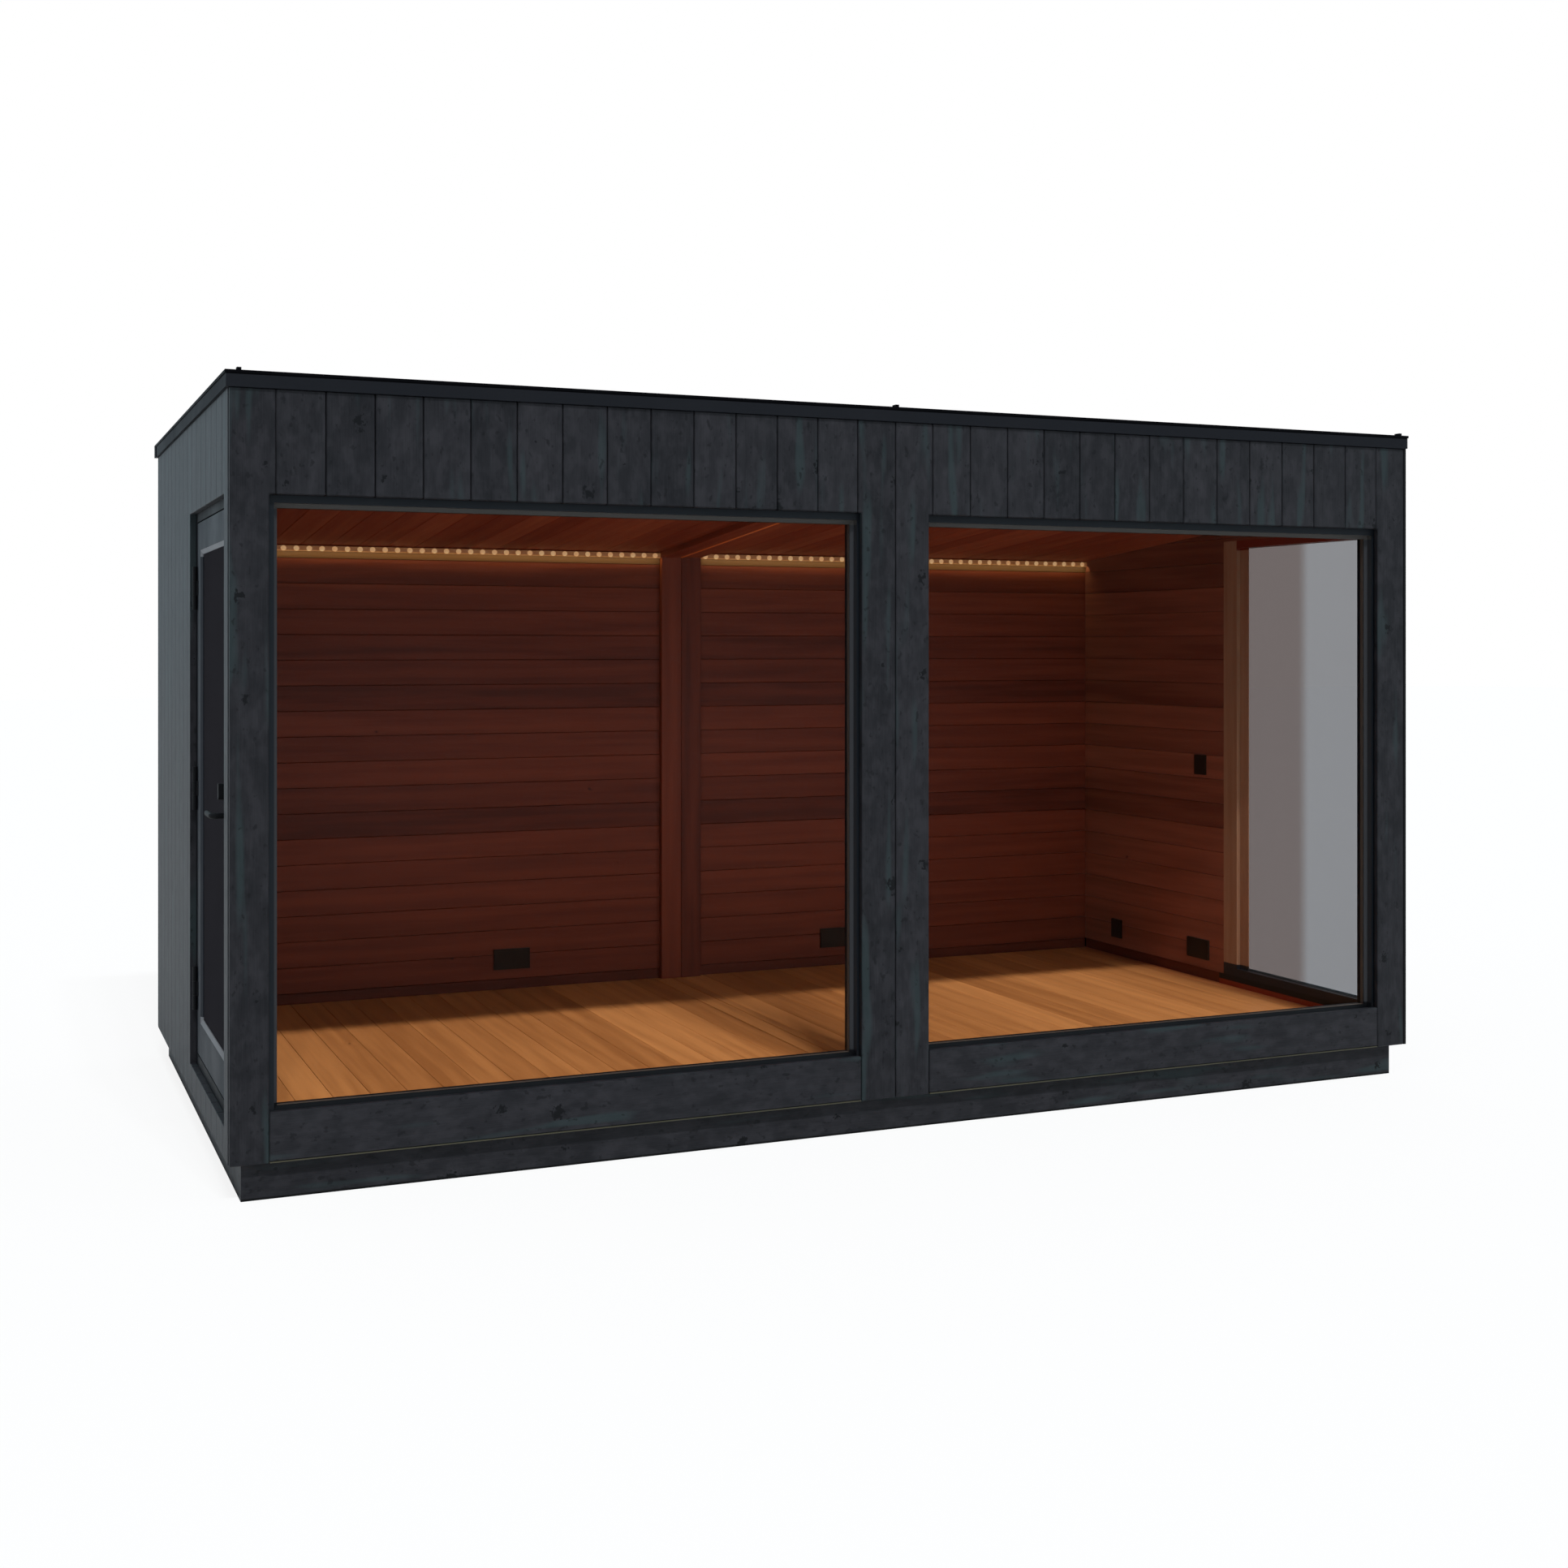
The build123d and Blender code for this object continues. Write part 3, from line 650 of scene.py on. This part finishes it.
def front_boards(side, name):
    """Corner and middle boards notched beside the window, fascia boards over it, a sill board under it."""
    boards = Boards(f"boards_front_{name}", 11 + side)
    gap = BOARD_GAP / 2

    def mirrored(outline):
        return [(side * u, v) for u, v in outline]

    def upright(edge, wide, narrow, inward):
        wide, narrow = edge + inward * (wide - gap), edge + inward * (narrow - gap)
        edge += inward * gap
        return mirrored([
            (edge, BASE), (narrow, BASE), (narrow, WINDOW_TOP),
            (wide, WINDOW_TOP), (wide, EAVES), (edge, EAVES),
        ])

    boards.add(upright(HALF - gap, CORNER_WIDE, CORNER_NARROW[side], -1), on_front, CLADDING)
    boards.add(upright(0, MIDDLE_WIDE, MIDDLE_NARROW, 1), on_front, CLADDING)
    for u0, u1 in strips(MIDDLE_WIDE, HALF - CORNER_WIDE, BOARD_PITCH, BOARD_GAP):
        boards.add(mirrored(rectangle(u0, u1, WINDOW_TOP, EAVES)), on_front, CLADDING)
    sill_start, sill_end = MIDDLE_NARROW + gap, HALF - CORNER_NARROW[side] - gap
    sill = rectangle(sill_start, sill_end, BASE + RAW_EDGE, WINDOW_BOTTOM)
    boards.add(mirrored(sill), on_front, CLADDING, along="u")
    boards.finish("cladding", [f"cladding_front_{name}"])

    raw = Boards(f"sill_edge_{name}", 21 + side)
    raw.add(
        mirrored(rectangle(sill_start + gap, sill_end - gap, BASE, BASE + RAW_EDGE - RAW_EDGE_GAP)),
        lambda u, v, depth: on_front(u, v, depth - RAW_EDGE_AHEAD),
        CLADDING,
        along="u",
    )
    raw.finish("raw_edge", edge=RAW_EDGE_ROUND)


for side, name in SIDES:
    front_boards(side, name)

# A thin strip at the right corner, black as painted shade along that corner
corner = Boards("corner_strip_painted_shade", 29)
corner.add(
    rectangle(HALF - CORNER_LAP, HALF + CORNER_STRIP, BASE, EAVES),
    lambda u, v, depth: on_front(u, v, depth + CORNER_LAP),
    CLADDING,
)
corner.finish("black", edge=STRIP_EDGE)


def side_opening(node):
    """The opening that the cladding of a side wall leaves round a frame."""
    low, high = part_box(node)
    return low.y, high.y, BASE + OPENING_FOOT, high.z


def side_boards(side, name, hole):
    boards = Boards(f"boards_{name}", 31 + side)
    core_y = -FRONT_Y - CLADDING
    for u0, u1 in strips(-core_y, core_y, SIDE_PITCH, BOARD_GAP):
        for outline in around(hole, u0, u1, BASE, EAVES):
            boards.add(outline, on_side(side), CLADDING)
    boards.finish("cladding", [f"cladding_{name}"], SIDE_EDGE)


DOOR_HOLE = side_opening("door_frame")
WINDOW_HOLE = side_opening("side_window_frame")
side_boards(-1, "left", DOOR_HOLE)
side_boards(1, "right", WINDOW_HOLE)

back = Boards("boards_back", 41)
for u0, u1 in strips(-HALF, HALF, BOARD_PITCH, BOARD_GAP):
    back.add(rectangle(u0, u1, BASE, EAVES), on_back, CLADDING)
back.finish("cladding", ["cladding_back"])

# Boards of the room
ceiling_low, ceiling_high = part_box("ceiling_left")
lining_low, lining_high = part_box("lining_back")
pilaster_low, pilaster_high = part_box("pilaster")
floor_low, floor_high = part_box("floor_left")
INNER_X, BACK_Y = lining_high.x, lining_low.y
LINING = lining_high.y - lining_low.y
LINING_BOTTOM, CEILING_BACK = lining_low.z, lining_high.z
CEILING_SLOPE = math.tan(math.radians(4.5))
FRONT_INNER, BACK_LINING = ceiling_low.y, ceiling_high.y
BAYS = (-INNER_X, pilaster_low.x), (pilaster_high.x, INNER_X)


def ceiling_height(y):
    return CEILING_BACK + (BACK_LINING - y) * CEILING_SLOPE


def on_inner_back(inset=0.0):
    return lambda u, v, depth: (u, BACK_Y + inset + depth, v)


def on_inner_side(side, inset=0.0):
    return lambda u, v, depth: (side * (INNER_X + inset + depth), u, v)


def under_ceiling(drop=0.0):
    return lambda u, v, depth: (u, v, ceiling_height(v) - drop + depth)


back_lining = Boards("lining_boards_back", 51)
right_lining = Boards("lining_boards_right", 52)
left_lining = Boards("lining_boards_left", 53)
row_chance = random.Random(5)
for v0, v1 in strips(LINING_BOTTOM, ceiling_height(FRONT_INNER), WALL_PITCH, LINING_GAP):
    row_tone = row_chance.random()
    top = min(v1, CEILING_BACK)
    if top - v0 > LEAST_ROW:
        for u0, u1 in BAYS:
            back_lining.add(rectangle(u0, u1, v0, top), on_inner_back(), LINING, along="u", tone=row_tone)
    for side, lining, hole in ((-1, left_lining, DOOR_HOLE), (1, right_lining, WINDOW_HOLE)):
        opening_back, opening_top = hole[1], hole[3]
        row = rectangle(opening_back, BACK_LINING, v0, v1)
        if v0 >= opening_top:
            row = rectangle(FRONT_INNER, BACK_LINING, v0, v1)
        elif v1 > opening_top:
            row = [
                (FRONT_INNER, opening_top), (opening_back, opening_top), (opening_back, v0),
                (BACK_LINING, v0), (BACK_LINING, v1), (FRONT_INNER, v1),
            ]
        outline = clipped(row, ceiling_height)
        if len(outline) > 2:
            lining.add(outline, on_inner_side(side), LINING, along="u", tone=row_tone)
back_lining.finish("lining", ["lining_back"], LINING_EDGE)
left_lining.finish("lining", ["lining_left"], LINING_EDGE)
right_lining.finish("right_lining", ["lining_right"], LINING_EDGE)

# Skirting boards in the gap under the lining, in a darker tone as painted shade of that gap
skirting = Boards("skirting_boards", 54)
skirting_foot, skirting_top = floor_high.z, LINING_BOTTOM - SKIRTING_GAP
for u0, u1 in BAYS:
    outline = rectangle(u0, u1, skirting_foot, skirting_top)
    skirting.add(outline, on_inner_back(SKIRTING_INSET), LINING - SKIRTING_INSET, along="u")
for side, hole in ((-1, DOOR_HOLE), (1, WINDOW_HOLE)):
    outline = rectangle(hole[1], BACK_Y, skirting_foot, skirting_top)
    skirting.add(outline, on_inner_side(side, SKIRTING_INSET), LINING - SKIRTING_INSET, along="u")
skirting.finish("skirting", edge=SKIRTING_EDGE)

for side, name in SIDES:
    ceiling = Boards(f"ceiling_boards_{name}", 61 + side)
    edges = sorted((side * JOINT_GAP, side * (INNER_X + LINING)))
    for u0, u1 in strips(*edges, CEILING_PITCH, LINING_GAP):
        ceiling.add(rectangle(u0, u1, FRONT_INNER, BACK_LINING), under_ceiling(), LINING)
    ceiling.finish("ceiling", [f"ceiling_{name}"], LINING_EDGE)

middle = Boards("pilaster_boards", 71)
beam = Boards("beam_boards", 72)
seam = Boards("beam_seam", 73)
for u0, u1 in strips(pilaster_low.x, pilaster_high.x, pilaster_high.x, LINING_GAP):
    middle.add(
        rectangle(u0, u1, pilaster_low.z, ceiling_height(pilaster_low.y)),
        lambda u, v, depth: (u, pilaster_low.y + depth, v),
        pilaster_high.y - pilaster_low.y,
    )
    beam.add(rectangle(u0, u1, FRONT_INNER, pilaster_low.y), under_ceiling(BEAM_BOARD), BEAM_BOARD)
# A pale bead along the beam's middle, as a painted highlight of a lit edge
seam.add(
    rectangle(-SEAM_WIDTH / 2, SEAM_WIDTH / 2, FRONT_INNER, pilaster_low.y - JOINT_GAP),
    under_ceiling(SEAM_DROP),
    SEAM_DEPTH,
)
seam.finish("seam", edge=STRIP_EDGE)
middle.finish("lining", ["pilaster"], LINING_EDGE)
beam.finish("ceiling", ["ceiling_beam"], LINING_EDGE)

floor_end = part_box("floor_right")[1].x
left_rows = strips(-floor_end, FLOOR_SEAMS[0], FLOOR_PITCH, LINING_GAP) + [
    (FLOOR_SEAMS[0] + WIDE_SEAM, FLOOR_SEAMS[1]), (FLOOR_SEAMS[1] + WIDE_SEAM, -FLOOR_JOINT),
]
right_rows = [(FLOOR_JOINT, FIRST_FLOOR_BOARD - LINING_GAP / 2)] + strips(
    FIRST_FLOOR_BOARD, floor_end, FLOOR_PITCH, LINING_GAP
)
for (side, name), rows in zip(SIDES, (left_rows, right_rows)):
    boards = Boards(f"floor_boards_{name}", 81 + side)
    for u0, u1 in rows:
        boards.add(
            rectangle(u0, u1, floor_low.y, floor_high.y),
            lambda u, v, depth: (u, v, floor_high.z - depth),
            floor_high.z - floor_low.z,
        )
    boards.finish("floor", [f"floor_{name}"], FLOOR_EDGE)

# Strip lights
led_low, led_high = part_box("led_strips")


def add_dot(mesh, centre):
    """A small ellipsoid, as rings between two poles. Its corners have the same order in each run."""
    rings = []
    for i in range(LED_RINGS + 1):
        polar = math.pi * i / LED_RINGS
        turns = [0] if i in (0, LED_RINGS) else [2 * math.pi * j / LED_SIDES for j in range(LED_SIDES)]
        rings.append([])
        for turn in turns:
            ball = -math.sin(polar) * math.sin(turn), math.sin(polar) * math.cos(turn), math.cos(polar)
            offset = Vector([LED_RADIUS * share * stretch for share, stretch in zip(ball, LED_SHAPE)])
            rings[-1].append(mesh.verts.new(centre + offset))
    for upper, lower in zip(rings, rings[1:]):
        for j in range(LED_SIDES):
            k = (j + 1) % LED_SIDES
            corners = [ring[n % len(ring)] for ring, n in ((upper, j), (lower, j), (lower, k), (upper, k))]
            mesh.faces.new(list(dict.fromkeys(corners)))


dots = bmesh.new()
for side in (-1, 1):
    for u0, u1 in strips(pilaster_high.x, INNER_X, LED_PITCH, 0):
        add_dot(dots, Vector((side * (u0 + u1) / 2, led_low.y, (led_low.z + led_high.z + LENS_RISE) / 2)))
keep("led_dots", dots, "led_dot")
moulding = Boards("led_mouldings", 75)
lens = Boards("led_lenses", 76)
for start, end in BAYS:
    moulding.add(
        rectangle(start, end, led_low.z - MOULDING, led_low.z),
        lambda u, v, depth: (u, led_high.y - MOULDING_AHEAD + depth, v),
        MOULDING_DEPTH,
        along="u",
    )
    lens.add(
        rectangle(start, end, led_low.z, led_high.z + LENS_RISE),
        lambda u, v, depth: (u, led_low.y - LENS_AHEAD + depth, v),
        LENS_DEPTH,
        along="u",
    )
moulding.finish("moulding", edge=BEAD_EDGE)
lens.finish("led", edge=LENS_EDGE)


# Spacer bars of the panes, between their two sheets
def spacer_bars(name, outline, place, depth, material="spacer", body="cabin"):
    """Four mitred bars inside a pane's edges. outline holds the pane's (u0, u1, v0, v1)."""
    bars = Boards(name, 91)
    u0, u1, v0, v1 = outline
    outer, inner = (
        rectangle(u0 + inset, u1 - inset, v0 + inset, v1 - inset)
        for inset in (SPACER_INSET, SPACER_INSET + SPACER)
    )
    for i in range(4):
        j = (i + 1) % 4
        bars.add([outer[i], outer[j], inner[j], inner[i]], place, depth, along="u" if i % 2 == 0 else "v")
    bars.finish(material, edge=SPACER_EDGE, body=body)


middle_margin = HALF - front_pane[1].x
for side, name in SIDES:
    u0, u1 = sorted((side * middle_margin, side * front_pane[1].x))
    spacer_bars(
        f"front_spacers_{name}",
        (u0, u1, front_pane[0].z, front_pane[1].z),
        lambda u, v, depth: (u, front_pane[0].y + PANE_FACE + depth, v),
        front_pane[1].y - front_pane[0].y - 2 * PANE_FACE,
    )
for name, (low, high), material, body in (
    ("side_spacers", side_pane, "side_spacer", "cabin"), ("door_spacers", door_pane, "spacer", "door"),
):
    spacer_bars(
        name,
        (low.y, high.y, low.z, high.z),
        lambda u, v, depth: (low.x + PANE_FACE + depth, u, v),
        high.x - low.x - 2 * PANE_FACE,
        material,
        body,
    )

# Bead on the side window's rear post, in front of its pane
sight = SPACER + SPACER_INSET
post_bead = Boards("side_window_bead", 95)
post_bead.add(
    rectangle(
        side_pane[1].y - sight - POST_BEAD, side_pane[1].y - sight,
        side_pane[0].z + sight, side_pane[1].z - sight,
    ),
    lambda u, v, depth: (side_pane[0].x - POST_BEAD_DEPTH - POST_BEAD_GAP + depth, u, v),
    POST_BEAD_DEPTH,
)
post_bead.finish("jamb", edge=BEAD_EDGE)

# Finish of the pieces that keep their CAD shape
finishes = {
    "plinth": ("plinth_rails", "plinth_bearers"),
    "core": (
        "back_wall_left", "back_wall_right", "left_wall_rear", "left_wall_over_door",
        "right_wall_rear", "right_wall_over_window", "front_posts", "front_headers", "front_sills",
    ),
    "roof": ("roof_left", "roof_right"),
    "trim": ("roof_trim_long", "roof_trim_ends", "roof_ribs"),
    "frame": ("front_window_frames",),
    "sill": ("side_window_sill",),
    "reveal": ("lining_front",),
    "front_glass": ("front_window_glass",),
    "jamb": ("side_window_frame",),
    "side_glass": ("side_window_glass",),
    "door_frame": ("door_frame",),
    "door": ("door_leaf",),
    "door_glass": ("door_glass",),
    "black": ("hinges_fixed", "hinges_moving", "door_lock", "door_handle"),
    "led": ("led_strips",),
    "plate": ("wall_plates",),
}
for material, names in finishes.items():
    for name in names:
        data = nodes[name].data
        data.materials.clear()
        data.materials.append(materials[material])


# Stage, lights and camera

def stage_floor():
    """A pale floor that looks white and keeps the cabin's shadow."""
    shader = Shader("stage_floor")
    shader.done(Base_Color=(0.82, 0.87, 0.9, 1), Roughness=0.9, Specular_IOR_Level=0.1)
    path = shader.node("LightPath")
    seen = shader.math("MAXIMUM", path.outputs["Is Camera Ray"], path.outputs["Is Transmission Ray"])
    white = shader.node("Emission", {"Color": (1, 1, 1, 1), "Strength": 1.0})
    bpy.ops.mesh.primitive_plane_add(size=STAGE_SIZE)
    floor = bpy.context.object
    floor.name = "stage_floor"
    floor.data.materials.append(shader.mixed(shader.math("MULTIPLY", seen, STAGE_WHITE), white))


def studio_world():
    """A plain soft light from all round, white where it is seen and a cool one in reflections."""
    world = bpy.data.worlds.new("studio")
    world.use_nodes = True
    scene.world = world
    sky = Nodes(world.node_tree)
    path = sky.node("LightPath")
    gloss, through = path.outputs["Is Glossy Ray"], path.outputs["Is Transmission Ray"]
    seen = sky.math("MAXIMUM", sky.math("MAXIMUM", path.outputs["Is Camera Ray"], gloss), through)
    strength = sky.node("MapRange", {"Value": seen, "To Min": AMBIENT, "To Max": 1.0})
    reflected = sky.math("SUBTRACT", gloss, through, clamp=True)
    background = sky.tree.nodes["Background"]
    sky.put(background.inputs["Color"], sky.mix(reflected, (1, 1, 1, 1), SKY_COLOUR))
    sky.put(background.inputs["Strength"], strength.outputs["Result"])


def lamp(name, kind, place, turn, energy, shade=(1, 1, 1), **settings):
    data = bpy.data.lights.new(name, kind)
    data.energy = energy
    data.color = shade
    for key, value in settings.items():
        setattr(data, key, value)
    lit = bpy.data.objects.new(name, data)
    lit.location = place
    lit.rotation_euler = turn
    lit.visible_camera = lit.visible_glossy = lit.visible_transmission = False
    scene.collection.objects.link(lit)


stage_floor()
studio_world()
for i, turn in enumerate(SUN_TURNS):
    tilt = (math.pi / 2 - SUN_ELEVATION, 0, -turn)
    lamp(f"key_{i + 1}", "SUN", (i - 2, -6, 6), tilt, SUN_STRENGTH / len(SUN_TURNS), angle=SUN_SOFTNESS)
for side in (-1, 1):
    lamp(
        f"strip_glow_{side + 2}",
        "AREA",
        (side * (pilaster_high.x + INNER_X) / 2, led_low.y - GLOW_REACH, led_low.z - GLOW_DROP),
        (GLOW_TILT, 0, 0),
        GLOW_POWER,
        GLOW_COLOUR,
        shape="RECTANGLE",
        size=INNER_X - pilaster_high.x - GLOW_WIDTH,
        size_y=GLOW_WIDTH,
    )

camera_data = bpy.data.cameras.new("camera")
camera_data.lens = CAMERA_LENS
camera_data.sensor_width = 36
camera_data.shift_y = CAMERA_SHIFT_Y
camera = bpy.data.objects.new("camera", camera_data)
camera.location = CAMERA_PLACE
camera.rotation_euler = (math.pi / 2, 0, CAMERA_TURN)
scene.collection.objects.link(camera)
scene.camera = camera
scene.view_settings.view_transform = "Standard"
